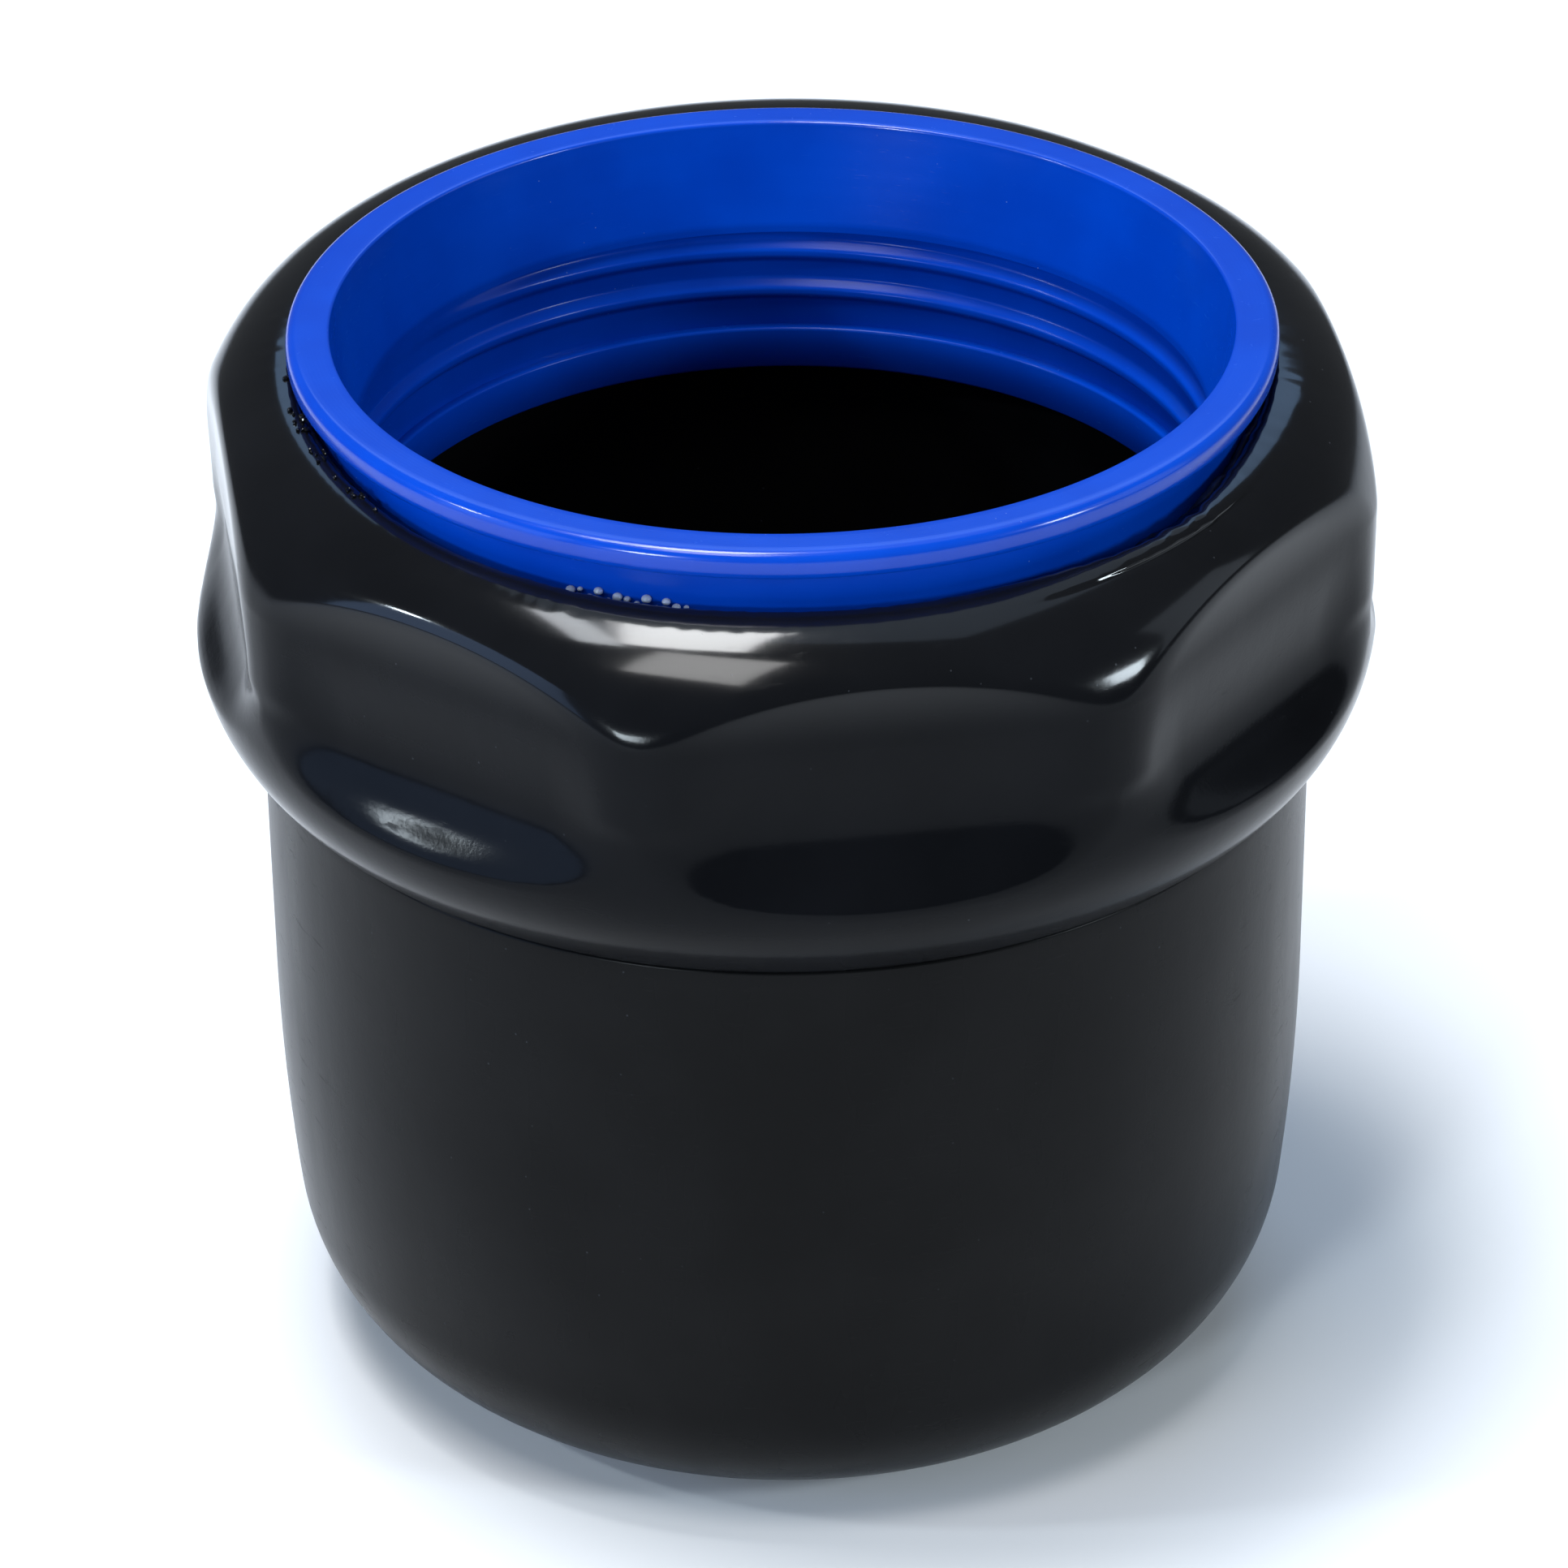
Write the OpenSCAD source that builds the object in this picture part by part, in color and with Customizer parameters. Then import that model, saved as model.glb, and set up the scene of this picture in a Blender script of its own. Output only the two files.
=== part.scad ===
// Barrel of a rotary rock tumbler: a rubber cup, a rubber grip collar bonded round its
// mouth, and a plastic ring with an internal thread that the collar holds.
// Origin at the centre of the base, +Z up along the barrel's axis.

/* [Overall] */
// Height from the base to the rim of the mouth
barrel_h = 114; // [100:1:150]
// Radius of the cup where the drive rollers carry it
cup_r = 53.7; // [52:0.1:70]

/* [Cup] */
// Thickness of the cup's side wall
cup_wall = 6.7; // [5:0.1:8.5]
// Thickness of the cup's floor
cup_floor = 7; // [4:0.5:12]
// Radius of the outer fillet round the base
base_fillet = 18.5; // [8:0.5:24]
// Radius of the inner fillet round the floor
floor_fillet = 13; // [5:0.5:20]
// Height below which the side wall draws in
draw_z = 42; // [30:1:45]
// How far the side wall draws in above the base fillet
draw_in = 1.1; // [0.5:0.1:2]
// Depth of the rebate that the collar is bonded in
rebate = 2.7; // [1.5:0.1:3]

/* [Threaded ring] */
// Height of the ring from its foot to the rim
ring_h = 28; // [24:0.5:36]
// Radius of the mouth at the rim
mouth_r = 45; // [36:0.1:46]
// Depth of the tapered mouth above the throat
mouth_depth = 11; // [9:0.5:13]
// How far the mouth narrows down to the throat, which is also the thread's crest
mouth_taper = 2.1; // [1:0.1:3]
// Height of the plain land at the throat
throat_land = 0.8; // [0.5:0.1:1.5]
// Height of the plain land below the thread
foot_land = 4.8; // [2:0.1:6]
// Depth of the thread
thread_depth = 1; // [0.6:0.1:1.4]
// Pitch of the thread
thread_pitch = 4.5; // [4:0.1:5]
// Width of the thread's crest
thread_crest_w = 1.8; // [0.8:0.1:2]
// Lean of the thread's flanks, in degrees
thread_flank = 30; // [15:1:30]
// Width of the rim's rolled lip
lip_w = 4.4; // [3.5:0.1:6]
// Height of the lip
lip_h = 3; // [2.4:0.1:4]
// Radius of the lip's rounded outer edges
lip_edge = 1.1; // [0.5:0.1:1.2]
// Thickness of the neck under the lip
neck_wall = 2.6; // [2:0.1:3]
// Height of the neck between the lip and the shoulder
neck_h = 6; // [5:0.1:7]
// Height of the spigot that drops into the cup
spigot_h = 3; // [2:0.1:4]
// Width of the ring's seat on the cup's end
seat_w = 3.4; // [2:0.1:3.8]
// Radial clearance of the spigot in the cup
spigot_gap = 0.1; // [0.05:0.05:0.3]
// Depth of the grooves that key the ring into the collar
key_depth = 1.2; // [0.6:0.1:1.5]
// Height of each key groove
key_h = 3; // [2:0.1:3]

/* [Grip collar] */
// Height of the collar's seam below the rim
collar_h = 43; // [38:0.5:50]
// How far the ribs stand out from the cup
rib_proud = 6.4; // [5:0.1:8]
// Number of flats
flats = 8; // [6:1:10]
// Depth of each flat below the ribs
flat_depth = 3.5; // [2:0.1:4]
// Depth of the collar's crown below the rim
crown_drop = 4.8; // [4:0.1:6.8]
// How far the crown dips towards the neck
crown_dip = 1.6; // [0.5:0.1:2]
// Radius of the fillet round the crown
crown_fillet = 4.4; // [2:0.1:4.6]
// Height of the rounded underside above the seam
underside_h = 12; // [9:0.5:14]
// Radius of the scooped ledge at the foot of each flat
ledge_r = 9; // [6:0.5:12]
// How far each ledge runs out below the top of the rounded underside
ledge_low = 1; // [0:0.1:2]
// Step of the collar's lower edge over the cup
seam_step = 0.4; // [0.2:0.1:1]

/* [Adhesive] */
// Width of the gap round the neck that the bead fills
bead_w = 1; // [0.6:0.1:1.2]
// Height of the bead's straight sides
bead_h = 1.6; // [0.8:0.1:2.4]
// Radius of the largest drop of adhesive
drop_r = 0.55; // [0.3:0.05:0.6]
// Share of its radius by which a drop may be smaller than the largest
drop_vary = 0.4; // [0:0.05:0.6]
// Number of drops
drops = 9; // [3:1:12]

/* [Hidden] */
$fn = 180;

rubber = [0.09, 0.09, 0.10];
plastic = [0.05, 0.27, 0.82];
adhesive = [0.10, 0.14, 0.24];
clear_adhesive = [0.80, 0.86, 0.95];

// Overshoot of a cut past the face that it opens
past = 1;

// Cup
bore_r = cup_r - cup_wall;
cup_neck_r = cup_r - rebate;
seam_z = barrel_h - collar_h;
ring_foot_z = barrel_h - ring_h;
cup_top_z = ring_foot_z + spigot_h;
// The drawn-in wall is an arc, tangent to the straight band at draw_z
draw_rise = draw_z - base_fillet;
draw_r = (draw_rise * draw_rise + draw_in * draw_in) / (2 * draw_in);
draw_x = cup_r - draw_r;
// Centre of the base fillet, which touches that arc and the base
centre_gap = draw_r - base_fillet;
fillet_x = draw_x + sqrt(centre_gap * centre_gap - draw_rise * draw_rise);
touch_z = draw_z - draw_rise * draw_r / centre_gap;

// Threaded ring
throat_r = mouth_r - mouth_taper;
root_r = throat_r + thread_depth;
neck_r = mouth_r + neck_wall;
lip_r = mouth_r + lip_w;
ring_r = bore_r + seat_w;
spigot_r = bore_r - spigot_gap;
shoulder_z = barrel_h - lip_h - neck_h;
throat_z = barrel_h - mouth_depth;
thread_top_z = throat_z - throat_land;
thread_foot_z = ring_foot_z + foot_land;
thread_root_w = thread_crest_w + 2 * thread_depth * tan(thread_flank);
// The crest stands this far behind the throat, and the ridge's foot this far into the wall
crest_step = 0.05;
ridge_bury = 0.4;
// Gap between the ridge and the lands above and below it, and the azimuth where it starts
ridge_gap = 0.3;
ridge_start = -123;
key_z = [for (k = [0, 1]) cup_top_z + (shoulder_z - cup_top_z - 2 * key_h) * (k + 1) / 3 + key_h * k];

// Grip collar
collar_r = cup_r + rib_proud;
flat_r = collar_r - flat_depth;
crown_z = barrel_h - crown_drop;
crown_inner_r = neck_r + bead_w;
crown_outer_r = flat_r - crown_fillet;
flange_z = seam_z + underside_h;
edge_r = cup_r + seam_step;
under_in = collar_r - edge_r;
under_r = (underside_h * underside_h + under_in * under_in) / (2 * under_in);
// The ledge's arc starts where it will reach the ribs' radius at the flange
ledge_turn = acos(1 - flat_depth / ledge_r);
ledge_z = flange_z + ledge_r * sin(ledge_turn) - ledge_low;

// Adhesive
bead_top_z = shoulder_z + bead_h + bead_w / 2;
// Azimuth of the first drop, and the steps in azimuth and in the rule that varies the sizes
drop_start = -123;
drop_step = 1.75;
drop_turn = 137;

// Section of the cup's outside: straight band, drawn-in wall, base fillet and bonded neck
module cup_section() {
  translate([0, draw_z])
    square([cup_r, seam_z - draw_z]);
  translate([0, seam_z])
    square([cup_neck_r, cup_top_z - seam_z]);
  intersection() {
    translate([draw_x, draw_z])
      circle(draw_r, $fn = 720);
    translate([0, touch_z])
      square([cup_r, draw_z - touch_z]);
  }
  translate([fillet_x, base_fillet])
    circle(base_fillet);
  square([fillet_x, base_fillet]);
}

// Section of the cup's cavity
module cavity_section() {
  corner_x = bore_r - floor_fillet;
  corner_z = cup_floor + floor_fillet;
  translate([0, corner_z])
    square([bore_r, cup_top_z + past - corner_z]);
  translate([corner_x, corner_z])
    circle(floor_fillet);
  translate([0, cup_floor])
    square([corner_x, floor_fillet]);
}

// Section of the ring's outside: lip, neck, keyed body and spigot
module ring_section() {
  translate([0, barrel_h - lip_h])
    square([lip_r - lip_edge, lip_h]);
  translate([0, barrel_h - lip_h + lip_edge])
    square([lip_r, lip_h - 2 * lip_edge]);
  for (z = [barrel_h - lip_edge, barrel_h - lip_h + lip_edge])
    translate([lip_r - lip_edge, z])
      circle(lip_edge);
  translate([0, shoulder_z])
    square([neck_r, barrel_h - lip_h - shoulder_z]);
  difference() {
    translate([0, cup_top_z])
      square([ring_r, shoulder_z - cup_top_z]);
    for (z = key_z)
      translate([ring_r - key_depth, z])
        square([key_depth + past, key_h]);
  }
  translate([0, ring_foot_z])
    square([spigot_r, spigot_h]);
}

// Section of the ring's opening: tapered mouth, throat, thread root and foot land
module mouth_section() {
  polygon([
    [0, barrel_h + past],
    [mouth_r, barrel_h + past],
    [mouth_r, barrel_h],
    [throat_r, throat_z],
    [throat_r, ring_foot_z - past],
    [0, ring_foot_z - past]
  ]);
  translate([0, thread_foot_z])
    square([root_r, thread_top_z - thread_foot_z]);
}

// One helical ridge of the thread, rising from the foot land and fading out at both ends
module thread_ridge() {
  crest_r = throat_r + crest_step;
  buried_r = root_r + ridge_bury;
  run = thread_top_z - thread_foot_z - thread_root_w - 2 * ridge_gap;
  steps_per_turn = 48;
  steps = floor(run / thread_pitch * steps_per_turn);
  fade_steps = 6;
  corners = 4;
  function crest_at(k) =
    let (share = min(1, (k + 0.5) / fade_steps, (steps - k + 0.5) / fade_steps))
    root_r + (crest_r - root_r) * share;
  function ring_of(k) =
    let (
      angle = ridge_start + k * 360 / steps_per_turn,
      z = thread_foot_z + ridge_gap + thread_root_w / 2 + k * thread_pitch / steps_per_turn,
      r = crest_at(k),
      half_root = thread_root_w / 2,
      half_crest = thread_crest_w / 2
    )
    [for (c = [[buried_r, -half_root], [r, -half_crest], [r, half_crest], [buried_r, half_root]])
      [c[0] * cos(angle), c[0] * sin(angle), z + c[1]]];
  points = [for (k = [0:steps]) each ring_of(k)];
  sides = [for (k = [0:steps - 1], c = [0:corners - 1])
    let (a = k * corners + c, b = k * corners + (c + 1) % corners)
    each [[a, b + corners, b], [a, a + corners, b + corners]]];
  first = [[for (c = [0:corners - 1]) c]];
  last = [[for (c = [corners - 1:-1:0]) steps * corners + c]];
  polyhedron(points, concat(sides, first, last), convexity = 6);
}

// Section of the collar before its flats are cut
module collar_section() {
  difference() {
    union() {
      translate([0, flange_z])
        square([collar_r, crown_z - crown_fillet - flange_z]);
      translate([0, flange_z])
        square([collar_r - crown_fillet, crown_z - flange_z]);
      translate([collar_r - crown_fillet, crown_z - crown_fillet])
        circle(crown_fillet);
      intersection() {
        translate([collar_r - under_r, flange_z])
          circle(under_r, $fn = 360);
        translate([0, seam_z])
          square([collar_r, underside_h]);
      }
    }
    cup_section();
    ring_section();
    translate([0, shoulder_z])
      square([crown_inner_r, crown_z]);
    polygon([
      [0, crown_z - crown_dip],
      [crown_inner_r, crown_z - crown_dip],
      [crown_outer_r, crown_z],
      [crown_outer_r, crown_z + past],
      [0, crown_z + past]
    ]);
  }
}

// What one flat takes away: a plane, the scooped ledge at its foot and the crown's fillet
module flat_cut() {
  rotate([90, 0, 0])
    linear_extrude(2 * collar_r, center = true) {
      translate([flat_r, ledge_z])
        square([collar_r, crown_z + past - ledge_z]);
      translate([flat_r + ledge_r, ledge_z])
        circle(ledge_r);
      difference() {
        translate([flat_r - crown_fillet, crown_z - crown_fillet])
          square([crown_fillet + past, crown_fillet + past]);
        translate([flat_r - crown_fillet, crown_z - crown_fillet])
          circle(crown_fillet);
      }
    }
}

// Black rubber cup, open at the top
module barrel_cup() {
  color(rubber)
    rotate_extrude()
      difference() {
        cup_section();
        cavity_section();
      }
}

// Black rubber collar with flats to grip, moulded round the ring and bonded to the cup
module grip_collar() {
  color(rubber)
    difference() {
      rotate_extrude()
        collar_section();
      for (k = [0:flats - 1])
        rotate([0, 0, -90 + k * 360 / flats])
          flat_cut();
    }
}

// Blue plastic ring that the lid screws into
module thread_ring() {
  color(plastic)
    union() {
      rotate_extrude()
        difference() {
          ring_section();
          mouth_section();
        }
      thread_ridge();
    }
}

// Bead of adhesive in the gap between the neck and the collar
module bond_bead() {
  color(adhesive)
    rotate_extrude() {
      translate([neck_r, shoulder_z])
        square([bead_w, bead_h]);
      translate([neck_r + bead_w / 2, shoulder_z + bead_h])
        circle(bead_w / 2);
    }
}

// Drops of clear adhesive that squeezed out and set on the bead, against the neck
module bond_drops() {
  color(clear_adhesive)
    for (k = [0:drops - 1]) {
      r = drop_r * (1 - drop_vary * (1 - cos(k * drop_turn)) / 2);
      rotate([0, 0, drop_start + k * drop_step])
        translate([neck_r + r, 0, bead_top_z + r])
          sphere(r, $fn = 24);
    }
}

barrel_cup();
grip_collar();
thread_ring();
bond_bead();
bond_drops();
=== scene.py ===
import math

import bpy
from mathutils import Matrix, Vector, noise


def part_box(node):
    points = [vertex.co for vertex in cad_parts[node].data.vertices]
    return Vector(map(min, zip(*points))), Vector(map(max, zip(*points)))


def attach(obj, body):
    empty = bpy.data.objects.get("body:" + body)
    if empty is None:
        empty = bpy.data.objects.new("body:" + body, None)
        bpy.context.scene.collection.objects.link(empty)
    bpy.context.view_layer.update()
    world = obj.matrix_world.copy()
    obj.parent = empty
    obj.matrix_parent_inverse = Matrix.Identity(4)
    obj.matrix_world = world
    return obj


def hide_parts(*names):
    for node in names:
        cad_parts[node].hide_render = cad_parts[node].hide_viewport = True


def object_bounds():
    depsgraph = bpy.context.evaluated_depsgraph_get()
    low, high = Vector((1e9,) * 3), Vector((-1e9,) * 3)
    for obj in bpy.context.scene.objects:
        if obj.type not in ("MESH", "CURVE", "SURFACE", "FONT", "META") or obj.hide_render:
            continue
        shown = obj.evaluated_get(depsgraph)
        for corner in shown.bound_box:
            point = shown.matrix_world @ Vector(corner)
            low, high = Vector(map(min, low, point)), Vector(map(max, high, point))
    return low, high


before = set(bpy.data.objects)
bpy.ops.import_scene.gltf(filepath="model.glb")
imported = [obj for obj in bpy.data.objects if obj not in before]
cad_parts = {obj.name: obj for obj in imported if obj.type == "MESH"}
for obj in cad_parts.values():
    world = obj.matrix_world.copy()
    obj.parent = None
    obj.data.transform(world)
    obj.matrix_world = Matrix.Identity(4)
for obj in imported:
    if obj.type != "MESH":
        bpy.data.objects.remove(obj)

# The camera looks down into the mouth from the front, a little to the left of the flat
# that faces -Y, from a good half metre away. It leans a fraction, as a hand-held one does.
cad_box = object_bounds()
mouth_z = cad_box[1][2]
millimetre = 0.001
camera_turn = math.radians(-9)
camera_reach = 578 * millimetre
camera_rise = 292 * millimetre
aim_ahead = 24 * millimetre
aim_below = 40 * millimetre
aim_left = 0.3 * millimetre
camera_lean = math.radians(-0.6)
outward = Vector((math.sin(camera_turn), -math.cos(camera_turn), 0))
leftward = Vector((-math.cos(camera_turn), -math.sin(camera_turn), 0))
mouth_centre = Vector((0, 0, mouth_z))
camera_place = mouth_centre + outward * camera_reach + Vector((0, 0, camera_rise))
camera_aim = mouth_centre + outward * aim_ahead + leftward * aim_left - Vector((0, 0, aim_below))
bpy.ops.object.camera_add(location=camera_place)
camera = bpy.context.object
camera.name = "camera"
sight = (camera_aim - camera_place).to_track_quat("-Z", "Y").to_matrix().to_4x4()
camera.rotation_euler = sight.to_euler()
camera.rotation_euler.rotate_axis("Z", camera_lean)
camera.data.sensor_width = 36
camera.data.lens = 149.1
camera.data.clip_end = 20
bpy.context.scene.camera = camera
bpy.context.scene.view_settings.view_transform = "Standard"

# The bench is a plain pale floor in a dim pale room. A ceiling light in two lengths hangs above
# and to the left, a bluish panel stands behind, and there are panels and small lamps overhead,
# in front and at both sides, which draw the soft highlights.
bpy.ops.object.select_all(action="DESELECT")
bpy.ops.mesh.primitive_plane_add(size=12, location=(0, 0, 0))
floor = bpy.context.object
floor.name = "bench"
bench_paint = bpy.data.materials.new("bench_paint")
bench_paint.use_nodes = True
paint_shader = bench_paint.node_tree.nodes["Principled BSDF"]
paint_shader.inputs["Base Color"].default_value = (0.9, 0.9, 0.91, 1)
paint_shader.inputs["Roughness"].default_value = 0.7
floor.data.materials.append(bench_paint)

room = bpy.data.worlds.new("room")
bpy.context.scene.world = room
room.use_nodes = True
room_light = room.node_tree.nodes["Background"]
room_light.inputs["Color"].default_value = (0.88, 0.94, 1.0, 1)
room_light.inputs["Strength"].default_value = 0.13


def panel_light(name, place, target, width, height, watts, tint):
    """A soft rectangular light at a place in metres, turned to face a target."""
    bpy.ops.object.light_add(type="AREA", location=place)
    panel = bpy.context.object
    panel.name = name
    panel.data.shape = "RECTANGLE"
    panel.data.size = width
    panel.data.size_y = height
    panel.data.energy = watts
    panel.data.color = tint
    panel.rotation_euler = (Vector(target) - Vector(place)).to_track_quat("-Z", "Y").to_euler()


crown = (0, -0.02, 0.107)
daylight = (0.80, 0.92, 1.0)
panel_light("ceiling_light", (-0.183, 0.059, 1.37), crown, 0.44, 0.30, 12.0, (0.97, 0.99, 1.0))
panel_light("ceiling_light_end", (-0.42, 0.097, 1.34), crown, 0.44, 0.11, 2.6, (0.9, 0.95, 1.0))
panel_light("sky_panel", (0.30, 1.25, 1.25), (0, 0, 0.1), 1.3, 0.6, 5.0, (0.36, 0.60, 1.0))
panel_light("front_panel", (-0.36, -0.50, 1.50), (0, 0, 0.1), 0.45, 0.45, 6.5, (1.0, 1.0, 1.0))
panel_light("left_panel", (-1.2, -0.35, 0.45), (0, 0, 0.08), 0.7, 0.8, 4.4, (0.38, 0.58, 1.0))
panel_light("left_glint", (-0.968, -0.058, 0.684), (-0.04, -0.04, 0.084), 0.08, 0.05, 2.2, daylight)
panel_light("left_lamp", (-0.736, -0.922, 0.36), (-0.01, -0.05, 0.1), 0.17, 0.17, 5.4, daylight)
panel_light("right_lamp", (0.922, -0.653, 0.52), (0.03, -0.05, 0.1), 0.17, 0.17, 4.8, daylight)
panel_light("right_panel", (1.2, -0.25, 0.60), (0, 0, 0.08), 0.5, 0.8, 1.2, (0.75, 0.86, 1.0))
panel_light("overhead_panel", (0.2, 0.5, 1.6), (0, 0, 0), 1.2, 1.2, 4.0, (0.62, 0.78, 1.0))

# Barrel cup: one compression moulding in black rubber, open at the top, with a rounded base
# and a wall that draws in below the band that the rollers carry. Its rebated neck is bonded
# inside the collar, so a hairline groove shows where the collar's edge ends.
cup_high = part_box("barrel_cup")[1]
collar_low, collar_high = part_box("grip_collar")
cup_r = cup_high.x
seam_z = collar_low.z
cup_wall = 6.7 * millimetre
cup_floor = 7 * millimetre
neck_r = cup_r - 2.7 * millimetre
bore_r = cup_r - cup_wall
base_fillet = 18.5 * millimetre
floor_fillet = 13 * millimetre
draw_z = 42 * millimetre
draw_in = 1.1 * millimetre
groove = 0.35 * millimetre
rebate_fall = 0.2 * millimetre


def arc(centre_r, centre_z, radius, start, end, steps):
    """Points along an arc in the half plane, from one angle to another in degrees."""
    turns = [math.radians(start + (end - start) * k / steps) for k in range(steps + 1)]
    return [(centre_r + radius * math.cos(t), centre_z + radius * math.sin(t)) for t in turns]


def line(start, end, steps):
    """Points along a straight stretch, without its first point."""
    shares = [(k + 1) / steps for k in range(steps)]
    run, rise = end[0] - start[0], end[1] - start[1]
    return [(start[0] + run * s, start[1] + rise * s) for s in shares]


def turned(name, outline, steps):
    """Draws a half outline of (radius, height) points edge by edge and spins it into a solid."""
    merge_gap = 0.002 * millimetre
    bpy.ops.object.select_all(action="DESELECT")
    bpy.ops.mesh.primitive_plane_add(size=millimetre, location=(0, 0, 0))
    piece = bpy.context.object
    piece.name = name
    bpy.ops.object.mode_set(mode="EDIT")
    bpy.ops.mesh.select_all(action="SELECT")
    bpy.ops.mesh.merge(type="CENTER")
    bpy.ops.transform.translate(value=(outline[0][0], 0, outline[0][1]))
    for here, there in zip(outline, outline[1:]):
        step = (there[0] - here[0], 0, there[1] - here[1])
        bpy.ops.mesh.extrude_region_move(TRANSFORM_OT_translate={"value": step})
    bpy.ops.mesh.select_all(action="SELECT")
    bpy.ops.mesh.spin(steps=steps, angle=math.tau, center=(0, 0, 0), axis=(0, 0, 1))
    bpy.ops.mesh.select_all(action="SELECT")
    bpy.ops.mesh.remove_doubles(threshold=merge_gap)
    bpy.ops.mesh.normals_make_consistent(inside=False)
    bpy.ops.object.mode_set(mode="OBJECT")
    bpy.ops.object.shade_smooth()
    return piece


draw_rise = draw_z - base_fillet
draw_r = (draw_rise ** 2 + draw_in ** 2) / (2 * draw_in)
draw_x = cup_r - draw_r
fillet_x = draw_x + math.sqrt((draw_r - base_fillet) ** 2 - draw_rise ** 2)
touch = math.degrees(math.asin(draw_rise / (draw_r - base_fillet)))
cup_outline = [(0, cup_floor)]
cup_outline += arc(bore_r - floor_fillet, cup_floor + floor_fillet, floor_fillet, -90, 0, 20)
cup_outline += line((bore_r, cup_floor + floor_fillet), (bore_r, cup_high.z), 12)
cup_outline += [(neck_r, cup_high.z), (neck_r, seam_z + rebate_fall), (cup_r - groove, seam_z)]
cup_outline += arc(cup_r - groove, seam_z - 2 * groove, groove, 90, 0, 6)
cup_outline += line((cup_r, seam_z - 2 * groove), (cup_r, draw_z), 20)
cup_outline += arc(draw_x, draw_z, draw_r, 0, -touch, 16)[1:]
cup_outline += arc(fillet_x, base_fillet, base_fillet, -touch, -90, 32)[1:]
cup_outline += line((fillet_x, 0), (0, 0), 6)
cup = turned("cup", cup_outline, steps=192)
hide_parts("barrel_cup")
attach(cup, "root")


class Wire:
    """The output of a shader node, on which plain arithmetic adds the Math nodes."""

    def __init__(self, finish, socket):
        self.finish = finish
        self.socket = socket

    def maths(self, operation, *others):
        """Adds a Math node that works on this output, and on any others after it."""
        values = dict(enumerate((self, *others)))
        return self.finish.node("ShaderNodeMath", {"operation": operation}, values)

    def __add__(self, other):
        return self.maths("ADD", other)

    __radd__ = __add__

    def __mul__(self, other):
        return self.maths("MULTIPLY", other)

    __rmul__ = __mul__

    def between(self, low, high):
        """0 below low, 1 above high and smooth between, and the reverse if low is above high."""
        settings = {"interpolation_type": "SMOOTHSTEP"}
        inputs = {"Value": self, "From Min": low, "From Max": high}
        return self.finish.node("ShaderNodeMapRange", settings, inputs)


class Finish:
    """A procedural material. Constants go straight to the shader's sockets."""

    def __init__(self, name, **constants):
        self.material = bpy.data.materials.new(name)
        self.material.use_nodes = True
        self.nodes = self.material.node_tree.nodes
        self.links = self.material.node_tree.links
        self.shader = self.nodes["Principled BSDF"]
        for socket, value in constants.items():
            self.shader.inputs[socket.replace("_", " ")].default_value = value
        self.place = self.node("ShaderNodeTexCoord", {}, {}, "Object")

    def node(self, kind, settings, inputs, output=0):
        """Adds a node with its settings, then its values and links, and gives one output."""
        made = self.nodes.new(kind)
        for setting, value in settings.items():
            setattr(made, setting, value)
        for socket, value in inputs.items():
            if isinstance(value, Wire):
                self.links.new(value.socket, made.inputs[socket])
            else:
                made.inputs[socket].default_value = value
        return Wire(self, made.outputs[output])

    def feed(self, socket, wire):
        """Links a wire to the shader."""
        self.links.new(wire.socket, self.shader.inputs[socket])

    def axis(self, letter):
        """The place along one axis, in metres."""
        return self.node("ShaderNodeSeparateXYZ", {}, {"Vector": self.place}, letter)

    def grain(self, scale, detail=3.0, stretch=(1, 1, 1), rough=0.5):
        """Noise from 0 to 1, with scale in lumps per metre."""
        settings = {"noise_dimensions": "3D"}
        place = self.node("ShaderNodeMapping", {}, {"Vector": self.place, "Scale": stretch})
        inputs = {"Vector": place, "Scale": scale, "Detail": detail, "Roughness": rough}
        return self.node("ShaderNodeTexNoise", settings, inputs, "Fac")

    def specks(self, scale, size):
        """1 inside small scattered spots and 0 elsewhere, with scale in spots per metre."""
        inputs = {"Vector": self.place, "Scale": scale, "Randomness": 1.0}
        spots = self.node("ShaderNodeTexVoronoi", {"feature": "F1"}, inputs, "Distance")
        return spots.between(size, size * 0.5)

    def blend(self, share, first, second):
        """A colour between two, by a share from 0 to 1."""
        inputs = {"Factor": share, "A": first, "B": second}
        return self.node("ShaderNodeMix", {"data_type": "RGBA"}, inputs, "Result")

    def bumps(self, *layers):
        """Feeds the normal with bumps, each a wire and its height in metres."""
        below = None
        for wire, height in layers:
            inputs = {"Height": wire, "Distance": height, "Strength": 1.0}
            if below:
                inputs["Normal"] = below
            below = self.node("ShaderNodeBump", {}, inputs, "Normal")
        self.feed("Normal", below)


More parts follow.
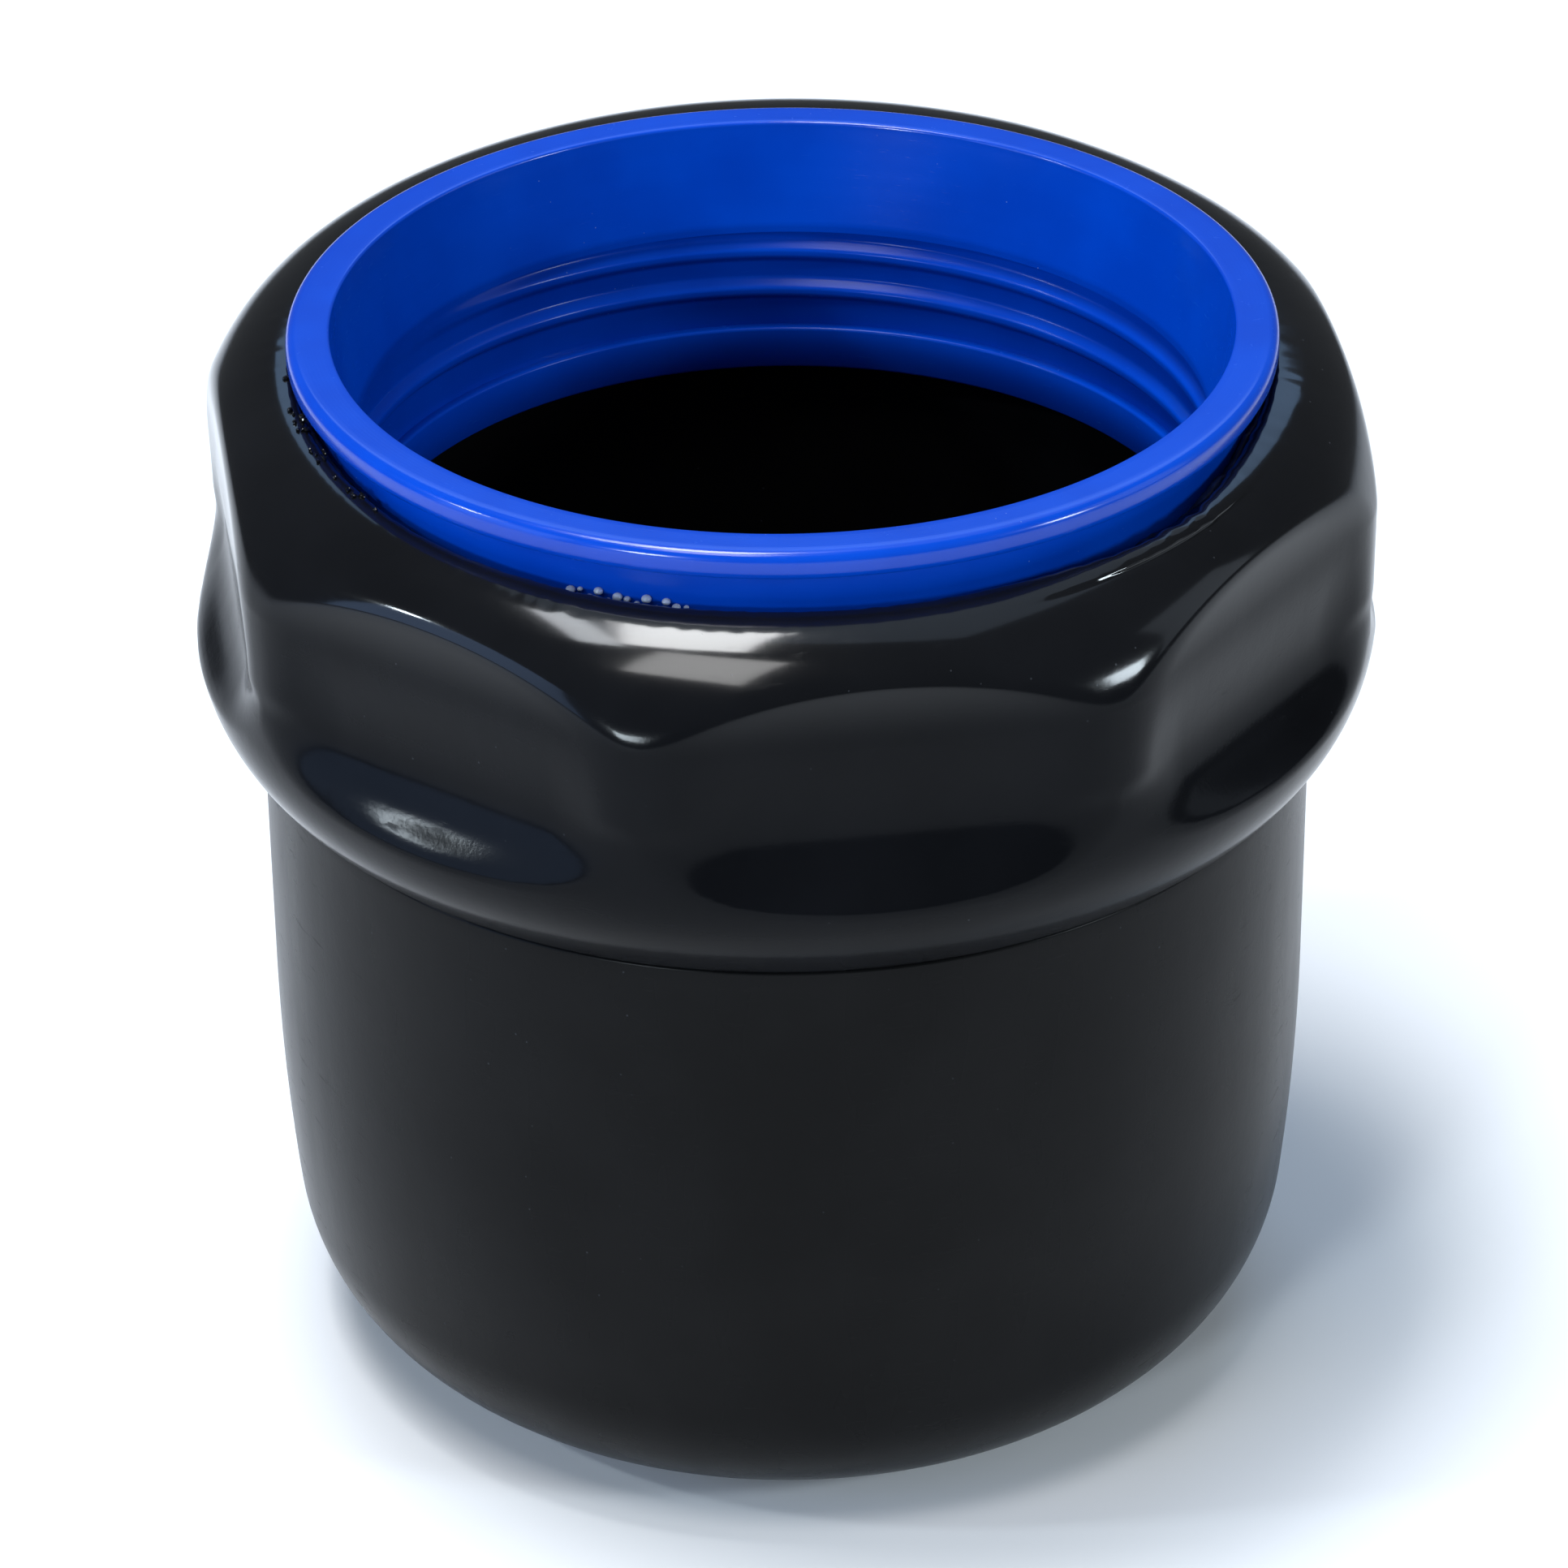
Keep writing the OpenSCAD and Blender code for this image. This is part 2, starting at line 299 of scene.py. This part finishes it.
def rubber_finish(name, shade, worn_shade, rough_low, rough_high, buffed=None):
    """Black rubber. A buffed band of two heights is where a polish begins and where it is full."""
    rubber = Finish(name, Specular_IOR_Level=0.07, IOR=1.5, Coat_Roughness=0.09, Coat_IOR=1.45)
    mottle = rubber.grain(55, 4)
    flow = rubber.grain(160, 3, (1, 1, 0.22))
    pores = rubber.grain(2600, 2)
    dust = rubber.specks(420, 0.055) * rubber.grain(40, 2).between(0.45, 0.62)
    scuffs = rubber.grain(240, 5, (1, 1, 6), 0.62).between(0.60, 0.74)
    body_colour = rubber.blend(mottle.between(0.3, 0.7), shade, worn_shade)
    rubber.feed("Base Color", rubber.blend(dust * 0.4, body_colour, (0.06, 0.065, 0.075, 1)))
    roughness = rough_low + (rough_high - rough_low) * flow + 0.1 * scuffs + 0.2 * dust
    rubber.feed("Roughness", roughness)
    if buffed:
        rubber.feed("Coat Weight", 0.6 * rubber.axis("Z").between(*buffed))
    rubber.bumps((mottle, 0.00009), (flow, 0.00003), (pores, 0.000006), (scuffs, 0.000004))
    return rubber.material


cup_shades = ((0.0034, 0.0034, 0.0036, 1), (0.0052, 0.0052, 0.0055, 1))
cup.data.materials.append(rubber_finish("moulded_cup_rubber", *cup_shades, 0.22, 0.34))

# Grip collar: a second, glossier rubber moulding bonded round the cup's neck. Eight dished flats
# leave rounded ribs between them, and each runs out in a scooped ledge over a full flange. The
# buffed crown sits a little askew, falls away outwards, and has a torn edge at the front right.
ring_low, ring_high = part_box("thread_ring")
bead_low, bead_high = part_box("bond_bead")
rib_r = cup_r + 6.4 * millimetre
flat_r = rib_r - 3.5 * millimetre
dish = 0.9 * millimetre
dish_edge = 0.45
flats = 8
rib_round = 1.0 * millimetre
crown_z = collar_high.z
crown_sink = -1.35 * millimetre
crown_tilt = 2.8 * millimetre
crown_low_turn = math.radians(-99)
crown_base_z = collar_high.z - 14 * millimetre
crown_inner_r = bead_high.x
crown_lip = 0.8 * millimetre
crown_wave = 0.2 * millimetre
torn_turn = math.radians(-53)
torn_spread = 0.24
torn_depth = 1.9 * millimetre
torn_varies = 0.9 * millimetre
nibble = 0.18 * millimetre
shoulder_w = rib_r - crown_inner_r - crown_lip
shoulder_h = 11 * millimetre
shoulder_fullness = 1.25
crown_back_fullness = 0.6
panel_run = 10 * millimetre
ledge_round = 2.2 * millimetre
underside_h = 12 * millimetre
flange_z = seam_z + underside_h
edge_r = cup_r + 0.4 * millimetre
ledge_r = 9 * millimetre
ledge_low = 1 * millimetre
ledge_z = flange_z + math.sqrt(ledge_r ** 2 - (ledge_r - (rib_r - flat_r)) ** 2) - ledge_low
under_in = rib_r - edge_r
under_r = (underside_h ** 2 + under_in ** 2) / (2 * under_in)
under_turn = math.degrees(math.asin(underside_h / under_r))
under_edge_r = edge_r - 0.15 * millimetre
ring_top_z = bead_low.z
ring_bore_r = ring_high.x + 0.05 * millimetre
hair = 0.01 * millimetre

collar_outline = arc(crown_inner_r + crown_lip, crown_z - crown_lip, crown_lip, 180, 90, 6)
for x, z in arc(0, 0, 1, 90, 0, 44)[1:-1]:
    place = (shoulder_w * x ** shoulder_fullness, shoulder_h * z ** shoulder_fullness)
    collar_outline.append((rib_r - shoulder_w + place[0], crown_z - shoulder_h + place[1]))
collar_outline.append((rib_r, crown_z - shoulder_h))
collar_outline += line((rib_r, crown_z - shoulder_h), (rib_r, flange_z), 30)
collar_outline += arc(rib_r - under_r, flange_z, under_r, 0, -under_turn, 26)[1:]
collar_outline += [(under_edge_r, seam_z), (neck_r, seam_z), (neck_r, cup_high.z)]
collar_outline += [(ring_bore_r, cup_high.z), (ring_bore_r, ring_top_z)]
collar_outline += [(crown_inner_r, ring_top_z)]
collar_outline += line((crown_inner_r, ring_top_z), (crown_inner_r, crown_z - crown_lip), 3)
collar = turned("collar", collar_outline, steps=640)


def soft_min(a, b, width):
    """The smaller of two lengths, with the corner between them rounded over a width."""
    overlap = max(width - abs(a - b), 0) / width
    return min(a, b) - overlap * overlap * width / 4


def eased(share):
    """Runs smoothly from 0 to 1 as the share does."""
    share = max(0, min(1, share))
    return share * share * (3 - 2 * share)


def flat_reach(turn, z):
    """How far out the nearest flat lets the rubber stand, at an angle and a height."""
    step = math.tau / flats
    off = (turn + math.pi / 2 + step / 2) % step - step / 2
    from_rib = eased((1 - 2 * abs(off) / step) / dish_edge)
    tray = from_rib * eased((crown_z - panel_run - z) / panel_run)
    plane = flat_r - dish * tray
    if z < ledge_z:
        drop = min(ledge_z - z, ledge_r)
        plane += ledge_r - math.sqrt(ledge_r ** 2 - drop ** 2)
    return plane / math.cos(off)


def crown_shift(turn, z):
    """How far the crown stands above or below its level: the ring was set a little askew in it."""
    share = eased((z - crown_base_z) / (crown_z - shoulder_h / 3 - crown_base_z))
    wave = crown_wave * noise.noise(Vector((math.cos(turn), math.sin(turn), 0)) * 2.5)
    drop = max(crown_z - z, 0)
    back = (1 - math.cos(turn - crown_low_turn)) / 2
    fuller = crown_back_fullness * back * drop * eased(1 - drop / shoulder_h)
    lean = crown_sink + crown_tilt * math.cos(turn - crown_low_turn)
    return fuller + wave * share - share * lean


def ragged(turn):
    """How far the crown's edge is eaten back round the neck, most of it at the front right."""
    place = Vector((math.cos(turn), math.sin(turn), 0))
    off = math.atan2(math.sin(turn - torn_turn), math.cos(turn - torn_turn))
    tear = math.exp(-(off / torn_spread) ** 2)
    torn = tear * (torn_depth + torn_varies * noise.noise(place * 22))
    return max(torn, 0) + nibble * noise.noise(place * 40)


for vertex in collar.data.vertices:
    radius = math.hypot(vertex.co.x, vertex.co.y)
    turn = math.atan2(vertex.co.y, vertex.co.x)
    z = vertex.co.z
    reach = radius
    if radius > max(edge_r - hair, flat_r - dish - rib_round) and z < crown_z + hair:
        towards_ledge = eased((ledge_z + ledge_low - z) / (3 * ledge_low))
        corner_round = rib_round + (ledge_round - rib_round) * towards_ledge
        reach = soft_min(radius, flat_reach(turn, z), corner_round)
    elif z > crown_z - crown_lip - hair:
        reach = radius + ragged(turn) * eased((edge_r - radius) / (edge_r - crown_inner_r))
    if z > ring_top_z + hair or radius > edge_r:
        vertex.co.z += crown_shift(turn, z)
    vertex.co.x = reach * math.cos(turn)
    vertex.co.y = reach * math.sin(turn)
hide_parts("grip_collar")
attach(collar, "root")
buffed = (crown_z - 12 * millimetre, crown_z - 4 * millimetre)
collar_shades = ((0.0030, 0.0033, 0.0042, 1), (0.0044, 0.0048, 0.0060, 1))
collar_rubber = rubber_finish("moulded_collar_rubber", *collar_shades, 0.10, 0.20, buffed)
collar.data.materials.append(collar_rubber)

# Threaded ring: an injection moulding in glossy blue plastic. A rolled lip stands on a short
# neck, the mouth tapers to a throat, and a single right-hand thread for the lid runs below it.
ring_r = ring_high.x
mouth_r = 45 * millimetre
throat_r = mouth_r - 2.1 * millimetre
root_r = throat_r + 1 * millimetre
ring_neck_r = mouth_r + 2.6 * millimetre
lip_r = mouth_r + 4.4 * millimetre
lip_h = 3 * millimetre
lip_edge = 1.1 * millimetre
throat_z = mouth_z - 11 * millimetre
thread_top_z = throat_z - 0.8 * millimetre
thread_foot_z = ring_low.z + 4.8 * millimetre
thread_depth = 1 * millimetre
thread_pitch = 4.5 * millimetre
half_root = 1.48 * millimetre
half_crest = 0.2 * millimetre
thread_start_z = thread_foot_z + 0.3 * millimetre + half_root
thread_turns = 1.76
thread_fade = 0.12
thread_start = math.radians(-123)
spigot_r = bore_r - 0.1 * millimetre
corner = 0.35 * millimetre

ring_outline = arc(mouth_r + corner, mouth_z - corner, corner, 180, 90, 5)
ring_outline += line(ring_outline[-1], (lip_r - lip_edge, mouth_z), 5)[:-1]
ring_outline += arc(lip_r - lip_edge, mouth_z - lip_edge, lip_edge, 90, 0, 8)
ring_outline += arc(lip_r - lip_edge, mouth_z - lip_h + lip_edge, lip_edge, 0, -90, 8)
ring_outline += line(ring_outline[-1], (ring_neck_r + corner, mouth_z - lip_h), 1)
ring_outline += arc(ring_neck_r + corner, mouth_z - lip_h - corner, corner, 90, 180, 4)
ring_outline += [(ring_neck_r, ring_top_z + corner)]
ring_outline += arc(ring_neck_r + corner, ring_top_z + corner, corner, 180, 270, 4)[1:]
ring_outline += [(ring_r, ring_top_z), (ring_r, cup_high.z)]
ring_outline += [(spigot_r, cup_high.z), (spigot_r, ring_low.z)]
ring_outline += [(throat_r + corner, ring_low.z), (throat_r, ring_low.z + corner)]
ring_outline += [(throat_r, thread_foot_z - corner)]
ring_outline += arc(throat_r + corner, thread_foot_z - corner, corner, 180, 90, 4)[1:]
ring_outline += line((throat_r + corner, thread_foot_z), (root_r, thread_foot_z), 2)
ring_outline += line((root_r, thread_foot_z), (root_r, thread_top_z), 90)
ring_outline += line((root_r, thread_top_z), (throat_r, thread_top_z), 3)
ring_outline += line((throat_r, thread_top_z), (throat_r, throat_z), 3)
ring_outline += line((throat_r, throat_z), ring_outline[0], 24)
ring = turned("ring", ring_outline, steps=320)
for vertex in ring.data.vertices:
    radius = math.hypot(vertex.co.x, vertex.co.y)
    if abs(radius - root_r) > hair or not thread_foot_z < vertex.co.z < thread_top_z:
        continue
    turn = (math.atan2(vertex.co.y, vertex.co.x) - thread_start) % math.tau / math.tau
    ridge = 0
    for lap in range(math.ceil(thread_turns)):
        along = turn + lap
        fade = min(along, thread_turns - along) / thread_fade
        gap = abs(vertex.co.z - thread_start_z - along * thread_pitch)
        ridge = max(ridge, eased(fade) * eased((half_root - gap) / (half_root - half_crest)))
    reach = root_r - thread_depth * ridge
    vertex.co.x *= reach / radius
    vertex.co.y *= reach / radius
bpy.ops.object.select_all(action="DESELECT")
ring.select_set(True)
bpy.context.view_layer.objects.active = ring
bpy.ops.object.shade_smooth_by_angle(angle=math.radians(50))
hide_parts("thread_ring")
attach(ring, "root")

plastic = Finish("blue_plastic", IOR=1.5, Specular_IOR_Level=0.12, Coat_Roughness=0.14)
cloudy = plastic.grain(70, 3)
sunk = plastic.grain(30, 2)
dirt = plastic.specks(600, 0.05) * plastic.grain(60, 2).between(0.5, 0.65)
east, north = plastic.axis("X"), plastic.axis("Y")
out = (east * east + north * north).maths("SQRT")
turning = (out * 16000 + cloudy * 4).maths("SINE")
scratches = plastic.grain(420, 4, (1, 1, 9), 0.65).between(0.62, 0.74)
deep = plastic.blend(cloudy.between(0.3, 0.7), (0.0, 0.042, 0.40, 1), (0.0, 0.052, 0.46, 1))
plastic.feed("Base Color", plastic.blend(dirt * 0.5, deep, (0.25, 0.33, 0.45, 1)))
plastic.feed("Roughness", 0.19 + 0.08 * cloudy + 0.12 * scratches + 0.2 * dirt)
gloss = plastic.axis("Z").between(mouth_z - 3 * lip_edge, mouth_z - lip_edge)
plastic.feed("Coat Weight", 0.5 * gloss)
plastic.bumps((sunk, 0.00008), (turning, 0.0000012), (scratches, 0.000003))
ring.data.materials.append(plastic.material)

# Bond bead: the adhesive that fills the gap between the ring's neck and the collar's crown,
# laid by hand, so its top is uneven, and it lies lower where the crown's edge is torn.
bead_in = ring_neck_r
bead_mid = (bead_in + crown_inner_r) / 2
bead_half = (crown_inner_r - bead_in) / 2
bead_side_z = bead_high.z - bead_half
bead_outline = [(bead_in, ring_top_z), (crown_inner_r, ring_top_z)]
bead_outline += arc(bead_mid, bead_side_z, bead_half, 0, 180, 10)
bead_outline += [(bead_in, ring_top_z)]
bead = turned("bead", bead_outline, steps=384)
for vertex in bead.data.vertices:
    turn = math.atan2(vertex.co.y, vertex.co.x)
    place = Vector((math.cos(turn), math.sin(turn), 0))
    depth = crown_z - crown_lip * 1.5 + crown_shift(turn, crown_z) - ring_top_z
    uneven = 1 + 0.25 * noise.noise(place * 9) + 0.12 * noise.noise(place * 45)
    uneven -= min(0.5, 0.3 * ragged(turn) / millimetre)
    share = (vertex.co.z - ring_top_z) / (bead_high.z - ring_top_z)
    vertex.co.z = ring_top_z + share * uneven * depth
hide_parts("bond_bead")
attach(bead, "root")
sealant = Finish("cured_adhesive", IOR=1.48)
lumps = sealant.grain(700, 3)
sealant_shades = ((0.004, 0.006, 0.014, 1), (0.012, 0.022, 0.07, 1))
sealant.feed("Base Color", sealant.blend(lumps.between(0.35, 0.7), *sealant_shades))
sealant.feed("Roughness", 0.22 + 0.3 * lumps)
sealant.bumps((lumps, 0.00008))
bead.data.materials.append(sealant.material)

# Bond drops: clear adhesive that squeezed out at the front left and set as small domes
# sitting on the bead against the neck.
drops_low_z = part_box("bond_drops")[0].z
drop_count = 13
drop_start = math.radians(-124)
drop_step = math.radians(1.15)
drop_big_r = 0.5 * millimetre
drop_varies = 0.25
drop_height = 0.82
drop_sunk = 0.5


def joined(pieces, name):
    """Joins a list of objects into one, with its place in its mesh."""
    bpy.ops.object.select_all(action="DESELECT")
    for piece in pieces:
        piece.select_set(True)
    bpy.context.view_layer.objects.active = pieces[0]
    bpy.ops.object.join()
    whole = bpy.context.object
    whole.name = name
    bpy.ops.object.transform_apply(location=True, rotation=True, scale=True)
    return whole


domes = []
for k in range(drop_count):
    drop_r = drop_big_r * (1 - drop_varies * (1 - math.cos(math.radians(k * 137))))
    turn = drop_start + k * drop_step
    place = Vector((math.cos(turn), math.sin(turn), 0)) * (ring_neck_r + drop_r * drop_sunk)
    place.z = drops_low_z + (0.1 + 0.45 * math.sin(k * 2.6)) * millimetre
    foot = place - Vector((0, 0, drop_r * drop_sunk))
    bpy.ops.object.select_all(action="DESELECT")
    bpy.ops.mesh.primitive_uv_sphere_add(segments=20, ring_count=12, radius=drop_r, location=place)
    dome = bpy.context.object
    bpy.ops.object.mode_set(mode="EDIT")
    bpy.ops.mesh.select_all(action="SELECT")
    bpy.ops.transform.resize(value=(1.0, 1.0, drop_height))
    bpy.ops.mesh.bisect(plane_co=foot, plane_no=(0, 0, 1), use_fill=True, clear_inner=True)
    bpy.ops.object.mode_set(mode="OBJECT")
    bpy.ops.object.shade_smooth()
    domes.append(dome)
drops = joined(domes, "drops")
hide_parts("bond_drops")
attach(drops, "root")
clear = Finish("clear_adhesive", IOR=1.48, Transmission_Weight=0.55)
ripple = clear.grain(900, 2)
# The drops are real clear adhesive, but their pale near-white base colour is partly a painted
# highlight that whitens them to stand in for their bright sparkle.
clear.feed("Base Color", clear.blend(ripple, (0.45, 0.55, 0.72, 1), (0.75, 0.82, 0.92, 1)))
clear.feed("Roughness", 0.08 + 0.12 * ripple)
clear.bumps((ripple, 0.00003))
drops.data.materials.append(clear.material)

# Rubber flecks: crumbs of black rubber, left when the collar's flash was trimmed, that stick to
# the crown near its inner edge at the left.
fleck_count = 26
fleck_middle = -167
crumbs = []
for k in range(fleck_count):
    place_seed = Vector((k * 3.7, k * 1.3, 0.5))
    turn = math.radians(fleck_middle - 20 * noise.noise(place_seed) - 10 * math.sin(k * 2.4))
    size = (0.16 + 0.26 * abs(noise.noise(place_seed * 2.1))) * millimetre
    reach = crown_inner_r + (0.1 + 1.2 * abs(math.sin(k * 5.1))) * millimetre
    level = crown_z + crown_shift(turn, crown_z) + 0.1 * millimetre
    place = Vector((math.cos(turn) * reach, math.sin(turn) * reach, level))
    bpy.ops.object.select_all(action="DESELECT")
    bpy.ops.mesh.primitive_ico_sphere_add(subdivisions=2, radius=size, location=place)
    crumb = bpy.context.object
    for vertex in crumb.data.vertices:
        vertex.co *= 1 + 0.6 * noise.noise(vertex.co / size * 1.3 + place_seed)
    crumbs.append(crumb)
flecks = joined(crumbs, "rubber_flecks")
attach(flecks, "root")
flecks.data.materials.append(collar_rubber)
